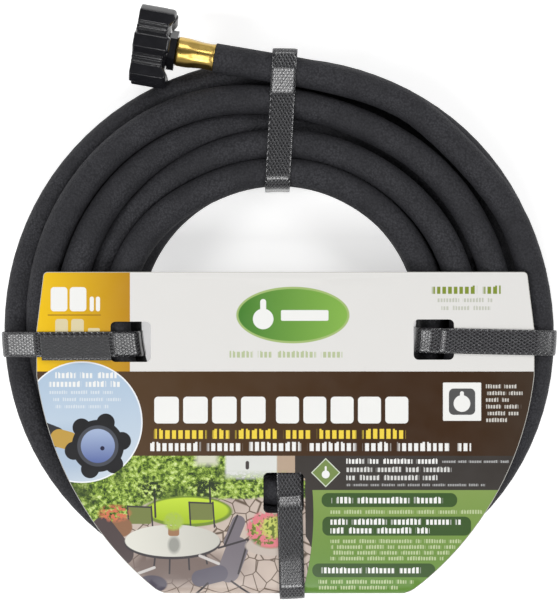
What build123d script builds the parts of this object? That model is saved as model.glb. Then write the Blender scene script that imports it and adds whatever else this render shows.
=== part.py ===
"""Porous soaker hose, coiled flat and tied for sale, with its couplings, straps and card.

Frame: the coil lies flat. +Z is up, on the card's side, and +Y points at the inlet end.
The origin is on the axis of the coil's eye, level with the undersides of the straps.
"""
from build123d import *
import math
import os

os.makedirs("parts", exist_ok=True)

# ---- hose and coil (mm)
hose_r = 7.5              # outside radius of the porous hose
crimped_r = 6.3           # outside radius where a ferrule squeezes it
barb_r = 4.75             # radius of a coupling's barb, and of the hose's inside
bore_r = 3.25             # water way through a coupling
coil_base = 1.0           # underside of the lowest turns
coil_top = 44.5           # top of the highest turns
coil_outer = (139.5, 137.5)
coil_outer_y = -1.5       # the outside of the coil sits a little below the eye's axis
coil_inner = (71.5, 69.5)
coil_round = 7.4

# ---- straps and card
strap_width = 12.7
strap_thick = 0.8
strap_round = 8.0
card_z = 45.4
card_thick = 0.6
card_top_y = 26.4
card_mid_x = 2.8
strap_over_card = card_z + card_thick + 0.1

# ---- inlet coupling, measured along its axis from the hose end of the ferrule
inlet_start = Vector(-32.7, 135.6, 37.0)
inlet_angle = 170
ferrule_len = 19.9
ferrule_r = (7.1, 7.6)
ferrule_shoulder = (13.0, 16.0)
crimp_len = 17.5          # length of hose inside a ferrule
barb_start = 0.5
bore_past = 3.0           # the hose's bore is cut this far past its ferrule
hex_end = 23.5
hex_across = 17.6
neck_r = 8.5
swivel_gap = 0.08
lobe_back = 22.4          # the lobes reach back past the nut's body, around the collar
nut_back = 24.0
nut_wall = 27.0
nut_front = 40.6
nut_body_r = 16.8
nut_tip_r = 21.0
nut_lobes = 6
lobe_root_r = 13.8
lobe_half = (7.0, 3.6)    # half a lobe's width at its root and at its tip
nut_sweep_r = 22.4        # the lobes' corners, with room to turn
nut_sweep = (17.6, 42.6)
flange_r = 11.5
flange = (27.1, 29.0)
restrictor = (29.2, 32.0)
restrictor_r = 12.7
meter_place = 2.6         # the metering hole is this far off the axis
meter_hole_r = 1.3
meter_boss_r = 2.6
recess_r = 9.4
recess_depth = 0.8
seat_r = 13.1             # room behind the thread, where the restrictor sits
thread_start = 32.2
inlet_thread_r = 12.4     # crest radius of the female garden hose thread

# ---- outlet coupling and cap, measured along the axis from the ferrule's hose end
outlet_angle = 125
outlet_start = Vector(-26.0, -22.4, 17.0)
outlet_hex_end = 23.0
outlet_hex_across = 23.2
male_end = 34.0
male_crest_r = 13.2
male_root_r = 12.1
male_pitch = 2.2087       # 11.5 threads to the inch
male_rings = 4
thread_ridge = (0.7, 1.1, 1.8)
cap_back = 24.0
cap_floor = 36.0
cap_end = 39.0
cap_bore_r = 13.6
cap_r = 15.5
cap_ribs = 24
cap_groove_r = 0.7
washer = (34.2, 35.8)
washer_r = 11.6
washer_hole_r = 8.0


def along(start, angle):
    """Plane whose local Z runs along a coupling, with local X straight up."""
    direction = (math.cos(math.radians(angle)), math.sin(math.radians(angle)), 0)
    return Plane(origin=start, x_dir=(0, 0, 1), z_dir=direction)


def lengthwise(start, angle):
    """Plane through a coupling's axis: local X is the radius, local Y the axis."""
    direction = Vector(math.cos(math.radians(angle)), math.sin(math.radians(angle)), 0)
    return Plane(origin=start, x_dir=(0, 0, 1), z_dir=Vector(0, 0, 1).cross(direction))


def axis_of(start, angle):
    return Axis(start, (math.cos(math.radians(angle)), math.sin(math.radians(angle)), 0))


def route_radii(points):
    """Bend radius at each corner: 0.45 of its shorter run over the tangent of half its turn."""
    radii = []
    for before, corner, after in zip(points, points[1:], points[2:]):
        run_in = Vector(*corner) - Vector(*before)
        run_out = Vector(*after) - Vector(*corner)
        turn = math.radians(run_in.get_angle(run_out))
        radii.append(0.45 * min(run_in.length, run_out.length) / math.tan(turn / 2))
    return radii


def finish(piece, name):
    piece.part.label = name
    export_step(piece.part, f"parts/{name}.step")


inlet = along(inlet_start, inlet_angle)
inlet_cut = lengthwise(inlet_start, inlet_angle)
inlet_axis = axis_of(inlet_start, inlet_angle)
outlet = along(outlet_start, outlet_angle)
outlet_cut = lengthwise(outlet_start, outlet_angle)
outlet_axis = axis_of(outlet_start, outlet_angle)

# ---- hose routes outside the coil's block, from the coil to each ferrule
inlet_route = [
    (94.0, 88.2, 37.0),
    (74.0, 104.5, 37.0),
    (52.0, 116.5, 37.0),
    (28.0, 124.2, 37.0),
    (-1.5, 130.1, 37.0),
    (-32.7, 135.6, 37.0),
]
outlet_route = [
    (74.4, -19.3, 17.5),
    (63.4, -40.0, 15.5),
    (40.7, -54.6, 13.5),
    (13.8, -56.3, 14.0),
    (-10.5, -44.5, 17.0),
    (-26.0, -22.4, 17.0),
]

# ---- hose, first end: from the coil's top layer to the inlet ferrule
with BuildPart() as hose_inlet_tail:
    with BuildLine() as inlet_line:
        FilletPolyline(*inlet_route, radius=route_radii(inlet_route))
    with BuildSketch(Plane(origin=inlet_line.line @ 0, z_dir=inlet_line.line % 0)):
        Circle(hose_r)
    sweep(path=inlet_line.line)
    with BuildSketch(inlet):
        Circle(crimped_r)
    extrude(amount=crimp_len)
    with BuildSketch(inlet.offset(-bore_past)):
        Circle(barb_r)
    extrude(amount=crimp_len + bore_past, mode=Mode.SUBTRACT)
finish(hose_inlet_tail, "hose_inlet_tail")

# ---- hose, last end: from the coil's innermost turn to the outlet ferrule
with BuildPart() as hose_outlet_tail:
    with BuildLine() as outlet_line:
        FilletPolyline(*outlet_route, radius=route_radii(outlet_route))
    with BuildSketch(Plane(origin=outlet_line.line @ 0, z_dir=outlet_line.line % 0)):
        Circle(hose_r)
    sweep(path=outlet_line.line)
    with BuildSketch(outlet):
        Circle(crimped_r)
    extrude(amount=crimp_len)
    with BuildSketch(outlet.offset(-bore_past)):
        Circle(barb_r)
    extrude(amount=crimp_len + bore_past, mode=Mode.SUBTRACT)
finish(hose_outlet_tail, "hose_outlet_tail")

# ---- the coil: the outer shape of all its turns, cut away where the inlet nut turns beside it
with BuildPart() as hose_coil:
    with BuildSketch(Plane.XY.offset(coil_base)):
        with Locations((0, coil_outer_y)):
            Ellipse(*coil_outer)
        Ellipse(*coil_inner, mode=Mode.SUBTRACT)
    extrude(amount=coil_top - coil_base)
    fillet(hose_coil.faces().sort_by(Axis.Z)[-1].edges(), coil_round)
    fillet(hose_coil.faces().sort_by(Axis.Z)[0].edges(), coil_round)
    with BuildSketch(inlet.offset(nut_sweep[0])):
        Circle(nut_sweep_r)
    extrude(amount=nut_sweep[1] - nut_sweep[0], mode=Mode.SUBTRACT)
finish(hose_coil, "hose_coil")


def make_ferrule(name, cut_plane, axis):
    """Crimped brass sleeve, slightly wider at the coupling's side."""
    with BuildPart() as ferrule:
        with BuildSketch(cut_plane):
            with BuildLine():
                Polyline(
                    (crimped_r, 0),
                    (ferrule_r[0], 0),
                    (ferrule_r[0], ferrule_shoulder[0]),
                    (ferrule_r[1], ferrule_shoulder[1]),
                    (ferrule_r[1], ferrule_len),
                    (crimped_r, ferrule_len),
                    close=True,
                )
            make_face()
        revolve(axis=axis)
    finish(ferrule, name)


make_ferrule("inlet_ferrule", inlet_cut, inlet_axis)
make_ferrule("outlet_ferrule", outlet_cut, outlet_axis)

# ---- inlet stem: barb in the hose, hexagonal collar, neck through the nut and its flange
with BuildPart() as inlet_stem:
    with BuildSketch(inlet_cut):
        with BuildLine():
            Polyline(
                (bore_r, barb_start),
                (barb_r, barb_start),
                (barb_r, crimp_len),
                (crimped_r, crimp_len),
                (crimped_r, ferrule_len),
                (neck_r, ferrule_len),
                (neck_r, flange[0]),
                (flange_r, flange[0]),
                (flange_r, flange[1]),
                (bore_r, flange[1]),
                close=True,
            )
        make_face()
    revolve(axis=inlet_axis)
    with BuildSketch(inlet.offset(ferrule_len)):
        RegularPolygon(hex_across / 2, 6, major_radius=False, rotation=30)
        Circle(neck_r - 0.5, mode=Mode.SUBTRACT)
    extrude(amount=hex_end - ferrule_len)
finish(inlet_stem, "inlet_stem")

# ---- inlet nut: six broad lobes, swivelling on the neck, with the female thread in its mouth
lobe_corners = [
    (lobe_root_r, -lobe_half[0]),
    (nut_tip_r, -lobe_half[1]),
    (nut_tip_r, lobe_half[1]),
    (lobe_root_r, lobe_half[0]),
]
with BuildPart() as inlet_nut:
    with BuildSketch(inlet.offset(nut_back)):
        Circle(nut_body_r)
        with PolarLocations(0, nut_lobes):
            Polygon(*lobe_corners, align=None)
    extrude(amount=nut_front - nut_back)
    chamfer(inlet_nut.faces().sort_by(inlet_axis)[-1].edges(), 0.8)
    with BuildSketch(inlet.offset(lobe_back)):
        with PolarLocations(0, nut_lobes):
            Polygon(*lobe_corners, align=None)
    extrude(amount=nut_back - lobe_back)
    with BuildSketch(inlet_cut):
        with BuildLine():
            Polyline(
                (0, nut_back - 1.0),
                (neck_r + swivel_gap, nut_back - 1.0),
                (neck_r + swivel_gap, nut_wall),
                (seat_r, nut_wall),
                (seat_r, thread_start),
                (inlet_thread_r, thread_start),
                (inlet_thread_r, nut_front + 1.0),
                (0, nut_front + 1.0),
                close=True,
            )
        make_face()
    revolve(axis=inlet_axis, mode=Mode.SUBTRACT)
finish(inlet_nut, "inlet_nut")

# ---- flow restrictor: the disc that seals the mouth and meters the water through one small hole
with BuildPart() as flow_restrictor:
    with BuildSketch(inlet.offset(restrictor[0])):
        Circle(restrictor_r)
        with Locations((meter_place, 0)):
            Circle(meter_hole_r, mode=Mode.SUBTRACT)
    extrude(amount=restrictor[1] - restrictor[0])
    with BuildSketch(inlet.offset(restrictor[1] - recess_depth)):
        Circle(recess_r)
        with Locations((meter_place, 0)):
            Circle(meter_boss_r, mode=Mode.SUBTRACT)
    extrude(amount=recess_depth, mode=Mode.SUBTRACT)
finish(flow_restrictor, "flow_restrictor")

# ---- outlet stem: barb, hexagonal collar and the male garden hose thread
with BuildPart() as outlet_stem:
    thread_profile = []
    for ring in range(male_rings):
        turn_start = male_end - 1.0 - (male_rings - ring) * male_pitch
        thread_profile.append((male_root_r, turn_start))
        thread_profile.append((male_crest_r, turn_start + thread_ridge[0]))
        thread_profile.append((male_crest_r, turn_start + thread_ridge[1]))
        thread_profile.append((male_root_r, turn_start + thread_ridge[2]))
    with BuildSketch(outlet_cut):
        with BuildLine():
            Polyline(
                (bore_r, barb_start),
                (barb_r, barb_start),
                (barb_r, crimp_len),
                (crimped_r, crimp_len),
                (crimped_r, ferrule_len),
                (neck_r, ferrule_len),
                (male_root_r, outlet_hex_end),
                *thread_profile,
                (male_root_r, male_end),
                (bore_r, male_end),
                close=True,
            )
        make_face()
    revolve(axis=outlet_axis)
    with BuildSketch(outlet.offset(ferrule_len)):
        RegularPolygon(outlet_hex_across / 2, 6, major_radius=False)
        Circle(neck_r - 0.5, mode=Mode.SUBTRACT)
    extrude(amount=outlet_hex_end - ferrule_len)
finish(outlet_stem, "outlet_stem")

# ---- end cap: a ribbed cup that screws onto the male thread
with BuildPart() as end_cap:
    with BuildSketch(outlet.offset(cap_back)):
        Circle(cap_r)
        with PolarLocations(cap_r, cap_ribs):
            Circle(cap_groove_r, mode=Mode.SUBTRACT)
    extrude(amount=cap_end - cap_back)
    chamfer(end_cap.faces().sort_by(outlet_axis)[-1].edges(), 0.6)
    with BuildSketch(outlet.offset(cap_back)):
        Circle(cap_bore_r)
    extrude(amount=cap_floor - cap_back, mode=Mode.SUBTRACT)
finish(end_cap, "end_cap")

# ---- cap washer: the ring that seals the cap against the end of the thread
with BuildPart() as cap_washer:
    with BuildSketch(outlet.offset(washer[0])):
        Circle(washer_r)
        Circle(washer_hole_r, mode=Mode.SUBTRACT)
    extrude(amount=washer[1] - washer[0])
finish(cap_washer, "cap_washer")


def make_strap(name, foot, radial, near, far, top, under=None):
    """Band round the coil's section, in the upright plane through foot along radial.

    near and far are the distances of its inside faces from foot, top is the height of its
    top run's underside, and under holds the (distance, height) points of a lower first stretch.
    """
    plane = Plane(origin=foot, x_dir=radial, z_dir=Vector(*radial).cross(Vector(0, 0, 1)))
    low = strap_thick
    corners = [(near, low), (far, low), (far, top)] + (under or [(near, top)])
    with BuildPart() as strap:
        with BuildSketch(plane) as band:
            with BuildLine():
                Polyline(*corners, close=True)
            make_face()
            fillet(band.vertices(), strap_round - strap_thick)
            offset(amount=strap_thick)
        with BuildSketch(plane, mode=Mode.PRIVATE) as hollow:
            with BuildLine():
                Polyline(*corners, close=True)
            make_face()
            fillet(hollow.vertices(), strap_round - strap_thick)
        extrude(band.sketch, amount=strap_width / 2, both=True)
        extrude(hollow.sketch, amount=strap_width / 2 + 1, both=True, mode=Mode.SUBTRACT)
    finish(strap, name)


lean = 3.2
lean_dir = (math.sin(math.radians(lean)), math.cos(math.radians(lean)), 0)
make_strap("strap_top", (-4.7, 0, 0), lean_dir, 68.9, 138.6, coil_top + 0.2)
make_strap("strap_left", (0, -10.8, 0), (-1, 0, 0), 69.0, 139.8, strap_over_card)
make_strap("strap_right", (0, -9.3, 0), (1, 0, 0), 69.6, 139.8, strap_over_card)
below_card = [(93.5, strap_over_card), (81.0, coil_top + 0.05), (68.2, coil_top + 0.05)]
make_strap("strap_bottom", (6.0, 0, 0), (0, -1, 0), 68.2, 140.3, strap_over_card, below_card)

# ---- display card: flat top, straight sides, then arcs that follow the coil to a short foot
card_half = 126.2
card_low_y = -133.5
card_side_y = -34.5
card_foot_half = 62.2
card_shoulder_y = -3.0    # the sides lean in above this height
card_lean = 3.4
card_corner = 2.0
card_bulge = (99.8, -97.7)    # a point halfway round each lower arc, from the card's middle
card_windows = [(-74.9, -8.9), (78.2, -7.8), (2.3, -85.2)]
window_size = (20.6, 20.2)
window_corner = 2.5
with BuildPart() as display_card:
    with BuildSketch(Plane.XY.offset(card_z)):
        with BuildLine():
            left_x = card_mid_x - card_half
            right_x = card_mid_x + card_half
            Line((left_x, card_side_y), (left_x, card_shoulder_y))
            FilletPolyline(
                (left_x, card_shoulder_y),
                (left_x + card_lean, card_top_y),
                (right_x - card_lean, card_top_y),
                (right_x, card_shoulder_y),
                radius=card_corner,
            )
            Line((right_x, card_shoulder_y), (right_x, card_side_y))
            ThreePointArc(
                (right_x, card_side_y),
                (card_mid_x + card_bulge[0], card_bulge[1]),
                (card_mid_x + card_foot_half, card_low_y),
            )
            Line((card_mid_x + card_foot_half, card_low_y), (card_mid_x - card_foot_half, card_low_y))
            ThreePointArc(
                (card_mid_x - card_foot_half, card_low_y),
                (card_mid_x - card_bulge[0], card_bulge[1]),
                (left_x, card_side_y),
            )
        make_face()
        with Locations(*card_windows):
            RectangleRounded(*window_size, window_corner, mode=Mode.SUBTRACT)
    extrude(amount=card_thick)
finish(display_card, "display_card")

for route_name, route in (("inlet", inlet_route), ("outlet", outlet_route)):
    print(route_name, "bend radii, mm:", [round(radius, 1) for radius in route_radii(route)])
    run = sum((Vector(*b) - Vector(*a)).length for a, b in zip(route, route[1:]))
    print(route_name, "runs added up, mm:", round(run, 1))
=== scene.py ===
"""A porous soaker hose, coiled flat and tied with four bands to a printed card.

Sizes are in millimetres, in the part's own frame, and turned into metres where an object is made.
"""
import cmath
import math

import bmesh
import bpy
import numpy as np
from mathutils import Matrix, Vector
from mathutils.geometry import delaunay_2d_cdt


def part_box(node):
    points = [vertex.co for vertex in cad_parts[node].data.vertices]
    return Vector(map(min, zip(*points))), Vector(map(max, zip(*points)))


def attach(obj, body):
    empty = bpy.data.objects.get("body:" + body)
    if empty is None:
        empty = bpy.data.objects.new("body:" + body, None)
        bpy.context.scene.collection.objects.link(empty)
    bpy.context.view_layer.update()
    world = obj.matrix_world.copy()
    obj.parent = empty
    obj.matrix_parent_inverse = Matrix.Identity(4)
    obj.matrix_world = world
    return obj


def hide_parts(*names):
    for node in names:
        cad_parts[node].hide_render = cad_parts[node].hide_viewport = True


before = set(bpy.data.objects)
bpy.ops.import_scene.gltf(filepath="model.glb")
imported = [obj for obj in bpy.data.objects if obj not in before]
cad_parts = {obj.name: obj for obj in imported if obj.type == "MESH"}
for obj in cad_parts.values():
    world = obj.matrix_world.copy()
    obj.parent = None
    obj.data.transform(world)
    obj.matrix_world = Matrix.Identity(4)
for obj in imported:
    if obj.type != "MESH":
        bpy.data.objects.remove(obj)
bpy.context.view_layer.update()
MM = 0.001
TAU = 2 * math.pi

# ---- driving dimensions (mm)
HOSE_D = 15.0
INLET_START = (-32.7, 135.6, 37.0)
INLET_ANGLE = 170
OUTLET_START = (-26.0, -22.4, 17.0)
OUTLET_ANGLE = 125
FERRULE_LEN = 19.9
STRAP_WIDTH = 12.7
STRAP_THICK = 0.8
CARD_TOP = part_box("display_card")[1].z / MM


# ---- small helpers
def link(obj):
    bpy.context.scene.collection.objects.link(obj)
    return obj


def mesh_object(name, verts, faces, material):
    """New mesh from points in millimetres."""
    mesh = bpy.data.meshes.new(name)
    mesh.from_pydata([tuple(c * MM for c in v) for v in verts], [], faces)
    mesh.validate()
    mesh.materials.append(material)
    mesh.shade_smooth()
    obj = link(bpy.data.objects.new(name, mesh))
    work = bmesh.new()
    work.from_mesh(mesh)
    bmesh.ops.recalc_face_normals(work, faces=work.faces)
    work.to_mesh(mesh)
    work.free()
    return obj


def grid_faces(rows, width, closed=True):
    """Quads between neighbouring loops of width points each."""
    faces = []
    for i in range(rows if closed else rows - 1):
        m = (i + 1) % rows
        for j in range(width):
            k = (j + 1) % width
            faces.append((i * width + j, i * width + k, m * width + k, m * width + j))
    return faces


class Tree:
    """A shader node tree, with one short call for each kind of node."""

    def __init__(self, tree):
        self.tree = tree

    def put(self, socket, value):
        if isinstance(value, bpy.types.NodeSocket):
            self.tree.links.new(value, socket)
        elif hasattr(value, "__len__") and len(value) == 3 and socket.type == "RGBA":
            socket.default_value = (*value, 1)
        else:
            socket.default_value = value

    def feed(self, node, *values):
        for socket, value in zip(node.inputs, values):
            self.put(socket, value)

    def node(self, kind, **sockets):
        node = self.tree.nodes.new("ShaderNode" + kind)
        for label, value in sockets.items():
            self.put(node.inputs[label], value)
        return node

    def math(self, op, a, b=0.0, clamp=False):
        node = self.node("Math")
        node.operation = op
        node.use_clamp = clamp
        self.feed(node, a, b)
        return node.outputs[0]

    def add(self, a, b):
        return self.math("ADD", a, b)

    def sub(self, a, b, clamp=False):
        return self.math("SUBTRACT", a, b, clamp)

    def mul(self, a, b, clamp=False):
        return self.math("MULTIPLY", a, b, clamp)

    def hypot(self, a, b):
        return self.math("SQRT", self.add(self.math("POWER", a, 2), self.math("POWER", b, 2)))

    def soft(self, distance, blur):
        """1 inside an outline, 0 outside, from the distance to it."""
        return self.sub(0.5, self.math("DIVIDE", distance, blur), clamp=True)

    def ramp(self, factor, *stops):
        node = self.node("ValToRGB")
        elements = node.color_ramp.elements
        while len(elements) < len(stops):
            elements.new(0.5)
        for element, (place, color) in zip(elements, stops):
            element.position = place
            element.color = (*color, 1) if hasattr(color, "__len__") else (color, color, color, 1)
        self.put(node.inputs[0], factor)
        return node.outputs[0]


class Finish(Tree):
    """A material: its shader, its texture coordinates and its colour nodes."""

    def __init__(self, name, color, rough, metallic=0.0, specular=0.5):
        self.mat = bpy.data.materials.new(name)
        self.mat.use_nodes = True
        super().__init__(self.mat.node_tree)
        self.bsdf = self.tree.nodes["Principled BSDF"]
        self.put(self.bsdf.inputs["Base Color"], color)
        self.put(self.bsdf.inputs["Roughness"], rough)
        self.put(self.bsdf.inputs["Metallic"], metallic)
        self.put(self.bsdf.inputs["Specular IOR Level"], specular)
        self.coords = self.node("TexCoord").outputs["Object"]

    def mix(self, factor, a, b):
        node = self.node("Mix")
        node.data_type = "RGBA"
        self.put(node.inputs[0], factor)
        self.put(node.inputs[6], a)
        self.put(node.inputs[7], b)
        return node.outputs[2]

    def noise(self, scale, detail=2.0, rough=0.5):
        node = self.node("TexNoise", Vector=self.coords, Scale=scale, Detail=detail, Roughness=rough)
        return node.outputs["Fac"]

    def cells(self, scale, feature="F1"):
        node = self.node("TexVoronoi", Vector=self.coords, Scale=scale)
        node.feature = feature
        return node.outputs["Distance"]

    def bump(self, height, strength, distance, normal=None):
        node = self.node("Bump", Strength=strength, Distance=distance, Height=height)
        if normal:
            self.put(node.inputs["Normal"], normal)
        return node.outputs[0]

    def color(self, value):
        self.put(self.bsdf.inputs["Base Color"], value)

    def rough(self, value):
        self.put(self.bsdf.inputs["Roughness"], value)

    def normal(self, value):
        self.put(self.bsdf.inputs["Normal"], value)


# ---- materials
def porous_rubber():
    """Crumb rubber bonded in plastic: near black, matt, pebbled, with paler crumbs."""
    n = Finish("porous_rubber", (0.035, 0.035, 0.04), 0.8, specular=0.3)
    crumbs = n.cells(900)
    grain = n.noise(2200, 4, 0.7)
    drift = n.noise(60, 3)
    flecks = n.ramp(n.noise(1500, 3, 0.65), (0.6, 0.0), (0.72, 1.0))
    base = n.mix(n.ramp(drift, (0.35, 0.0), (0.7, 1.0)), (0.024, 0.024, 0.028), (0.04, 0.04, 0.046))
    pitted = n.mix(n.ramp(crumbs, (0.15, 0.0), (0.8, 1.0)), base, (0.014, 0.014, 0.017))
    n.color(n.mix(n.mul(flecks, 0.28), pitted, (0.105, 0.105, 0.118)))
    n.rough(n.ramp(grain, (0.3, 0.62), (0.7, 0.88)))
    fine = n.bump(grain, 0.4, 0.0003)
    n.normal(n.bump(crumbs, 0.55, 0.0005, fine))
    return n.mat


def black_plastic(name="black_plastic", rough=0.15, color=(0.01, 0.01, 0.012)):
    n = Finish(name, color, rough, specular=0.38)
    wear = n.noise(160, 4, 0.6)
    n.rough(n.ramp(wear, (0.3, rough - 0.03), (0.7, rough + 0.07)))
    n.color(n.mix(n.ramp(wear, (0.45, 0.0), (0.75, 1.0)), color, tuple(c * 1.4 for c in color)))
    n.normal(n.bump(n.noise(500, 2), 0.08, 0.0002))
    return n.mat


def brass():
    n = Finish("brass", (0.56, 0.38, 0.1), 0.3, metallic=1.0)
    tarnish = n.noise(90, 4, 0.6)
    n.color(n.mix(n.ramp(tarnish, (0.35, 0.0), (0.7, 1.0)), (0.6, 0.41, 0.12), (0.42, 0.29, 0.07)))
    n.rough(n.ramp(n.noise(300, 4), (0.3, 0.26), (0.75, 0.36)))
    n.normal(n.bump(n.noise(700, 2), 0.05, 0.0002))
    return n.mat


def strapping(name, dark, light, rough):
    """Grey polypropylene band, embossed with small raised diamonds; a painted highlight lightens the
    diamonds' outlines.
    """
    n = Finish(name, dark, rough, specular=1.0)
    u, v = n.node("SeparateXYZ", Vector=n.node("TexCoord").outputs["UV"]).outputs[:2]

    def to_line(op):
        wave = n.math("FRACT", n.add(n.math(op, u, v), 40))
        return n.sub(0.5, n.math("ABSOLUTE", n.sub(wave, 0.5)))

    inward = n.math("MINIMUM", to_line("ADD"), to_line("SUBTRACT"))
    cushion = n.ramp(inward, (0.05, 0.0), (0.24, 1.0))
    streaks = n.noise(240, 3, 0.6)
    # painted highlight: the diamonds' sloping outlines are coloured lighter, as where they catch the lamps, a
    # little uneven along the band
    painted_outline_glint = n.mul(n.sub(1, cushion), n.ramp(streaks, (0.3, 0.8), (0.7, 1.0)))
    n.color(n.mix(painted_outline_glint, dark, light))
    n.rough(n.ramp(n.noise(500, 3), (0.3, rough - 0.03), (0.7, rough + 0.06)))
    n.normal(n.bump(cushion, 1.0, 0.0002))
    return n.mat


def soft_disc(name, color):
    n = Finish(name, color, 0.42)
    n.color(n.mix(n.noise(200, 3), tuple(c * 0.8 for c in color), tuple(c * 1.2 for c in color)))
    n.normal(n.bump(n.noise(900, 2), 0.15, 0.0002))
    return n.mat


RUBBER = porous_rubber()
PLASTIC = black_plastic()
CAP_PLASTIC = black_plastic("cap_plastic", 0.42, (0.018, 0.018, 0.02))
BRASS = brass()
STRAPPING = strapping("strap_grey", (0.005, 0.005, 0.006), (0.036, 0.036, 0.041), 0.21)
LAPPED = strapping("strap_grey_lap", (0.012, 0.012, 0.014), (0.022, 0.022, 0.025), 0.36)
BLUE = soft_disc("restrictor_blue", (0.05, 0.14, 0.48))
WASHER = soft_disc("washer_rubber", (0.02, 0.02, 0.02))


# ---- camera and light
FLOOR_HALF, FLOOR_Z, FLOOR_GLOW = 3000, -0.3, 0.52
LENS, SENSOR = 120, 36
VIEW_CENTRE = (0.00025, 0.0122, 0.04)  # a place level with the coil's top
VIEW_SIDE = 0.3048  # the longer side of what the camera sees there


def stage():
    paper = Finish("floor", (0.82, 0.82, 0.82), 0.9, specular=0.1)
    paper.bsdf.inputs["Emission Color"].default_value = (1, 1, 1, 1)
    paper.bsdf.inputs["Emission Strength"].default_value = FLOOR_GLOW
    floor = mesh_object(
        "floor",
        [(x * FLOOR_HALF, y * FLOOR_HALF, FLOOR_Z) for x, y in ((-1, -1), (1, -1), (1, 1), (-1, 1))],
        [(0, 1, 2, 3)],
        paper.mat,
    )
    world = bpy.data.worlds.new("studio")
    world.use_nodes = True
    sky = Tree(world.node_tree)
    up = sky.node("SeparateXYZ", Vector=sky.node("TexCoord").outputs["Generated"]).outputs[2]
    background = world.node_tree.nodes["Background"].inputs
    sky.put(background["Color"], sky.ramp(up, (0.35, 0.95), (0.85, 0.22)))
    sky.put(background["Strength"], 0.6)
    bpy.context.scene.world = world
    lamps = [
        ("front", (-0.08, -0.64, 1.12), 0.42, 6.0),
        ("left", (-1.00, -0.1, 1.00), 0.45, 6.5),
        ("right", (1.00, 0.1, 0.95), 0.45, 4.5),
        ("back", (0.05, 0.95, 1.00), 0.4, 3.5),
    ]
    for name, place, size, power in lamps:
        data = bpy.data.lights.new(name, "AREA")
        data.size = size
        data.energy = power
        lamp = link(bpy.data.objects.new(name, data))
        lamp.location = place
        lamp.rotation_euler = (-Vector(place)).to_track_quat("-Z", "Y").to_euler()
    camera_data = bpy.data.cameras.new("camera")
    camera_data.lens = LENS
    camera_data.clip_start = 0.01
    camera = link(bpy.data.objects.new("camera", camera_data))
    camera.location = Vector(VIEW_CENTRE) + Vector((0, 0, VIEW_SIDE * LENS / SENSOR))
    bpy.context.scene.camera = camera
    bpy.context.scene.view_settings.view_transform = "Standard"


stage()

# ---- the hose
# The route outside the coil, as the part has it, from each ferrule to the coil.
inlet_route = [
    INLET_START,
    (-1.5, 130.4, 37.0),
    (28.1, 124.9, 37.0),
    (52.6, 117.9, 37.0),
    (75.1, 106.1, 37.0),
]
outlet_route = [
    (74.4, -19.3, 17.5),
    (63.4, -40.0, 15.5),
    (40.7, -54.6, 13.5),
    (13.8, -56.3, 14.0),
    (-10.5, -44.5, 17.0),
    OUTLET_START,
]
LOW, MID, HIGH = 8.5, 21.5, 34.0
# Each turn, clockwise from the top: (radius, height) at the top, upper right, right, foot, left, upper left.
turn_places = [
    [(129.6, 37), (129.8, 37), (133, 36), (134, HIGH), (135, MID), (132, MID)],
    [(128.6, 18), (128, LOW), (130, LOW), (129, LOW), (122, LOW), (120, LOW)],
    [(118, LOW), (114, LOW), (114.5, LOW), (114, LOW), (107, LOW), (105, LOW)],
    [(103.5, LOW), (99.5, LOW), (99.5, LOW), (99, LOW), (92.5, LOW), (91, LOW)],
    [(89, LOW), (85, LOW), (85, LOW), (84, LOW), (78.5, LOW), (78.5, LOW)],
    [(79, LOW), (85, 16), (91, MID), (104, MID), (112, MID), (114, MID)],
    [(115, MID), (119, MID), (121.5, MID), (119, MID), (122, 33), (121.5, 33)],
    [(115.3, 33), (111, HIGH), (109.7, HIGH), (106, HIGH), (107.8, HIGH), (106.5, 33)],
    [(101.9, 28.5), (103.5, 24), (105.5, MID), (98, HIGH), (96.5, 26), (93.8, 27.5)],
    [(89.3, 33.5), (91.4, HIGH), (94.5, HIGH), (88, HIGH), (84, 33), (80.6, 32)],
    [(77.2, 27), (77.9, 32), (81, HIGH), (79, MID), (79.4, MID), (79.6, 18)],
    [(78.6, 15), (77.4, MID), (77.8, 18.5)],
]
PLACE_PHASES = (0, 0.125, 0.25, 0.5, 0.75, 0.875)
STEPS = 24  # points in a turn
COIL_TURNS = 11.25
JOINS_INLET = 0.16  # the turn's share that the inlet route takes the place of
EYE_RADIUS, OUTER_RADIUS = 77.6, 132.2  # of the centrelines, at the height of RIM
OFF_CENTRE = 4.06  # the coil's rim reaches this much further at the foot than its middle
RIM = 36
EYE_SLOPE, OUTER_SLOPE = 0.08, 0.13  # sideways for each mm below RIM
# Where the rim leaves its circle: (phase, half width as a share of a turn, mm outwards).
BULGE = (0.356, 0.135)  # the lower right, where the coil swells past the card
BULGE_PUSH = 5.0  # the top turn is wanted this much further out there
SWELLS = [
    (0.125, 0.08, 0.8), (*BULGE, 3.2), (0.5, 0.17, -6.9), (0.65, 0.1, 2.6), (0.815, 0.09, 2.2),
    (0.885, 0.06, 0.8),
]
UNDER_CARD = (0.45, 0.55)  # the card's foot covers this stretch of the first turn
TOP_ROWS = 6.6  # from this turn on, the upper half lies in sight
ROOF, FIRST_ROOF = 36.5, 37.2  # the highest centreline, and on the first half turn
PRESSED = 0.5  # neighbours press into each other by this
PULL_SEEN, PULL_HIDDEN = (0.16, 0.08), (0.012, 0.008)  # towards the wanted (radius, height)
ROUNDS, CALM_ROUNDS, LAST_ROUNDS = 700, 150, 40


def hump(phase, centre, half_width):
    """1 at centre, falling smoothly to 0 half_width of a turn away."""
    away = np.abs((phase - centre + 0.5) % 1 - 0.5) / half_width
    return np.where(away < 1, 0.5 + 0.5 * np.cos(np.pi * np.minimum(away, 1)), 0)


def eased(places):
    """The places, each drawn halfway to its two neighbours."""
    result = places.copy()
    result[1:-1] = (places[:-2] + 2 * places[1:-1] + places[2:]) / 4
    return result


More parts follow.
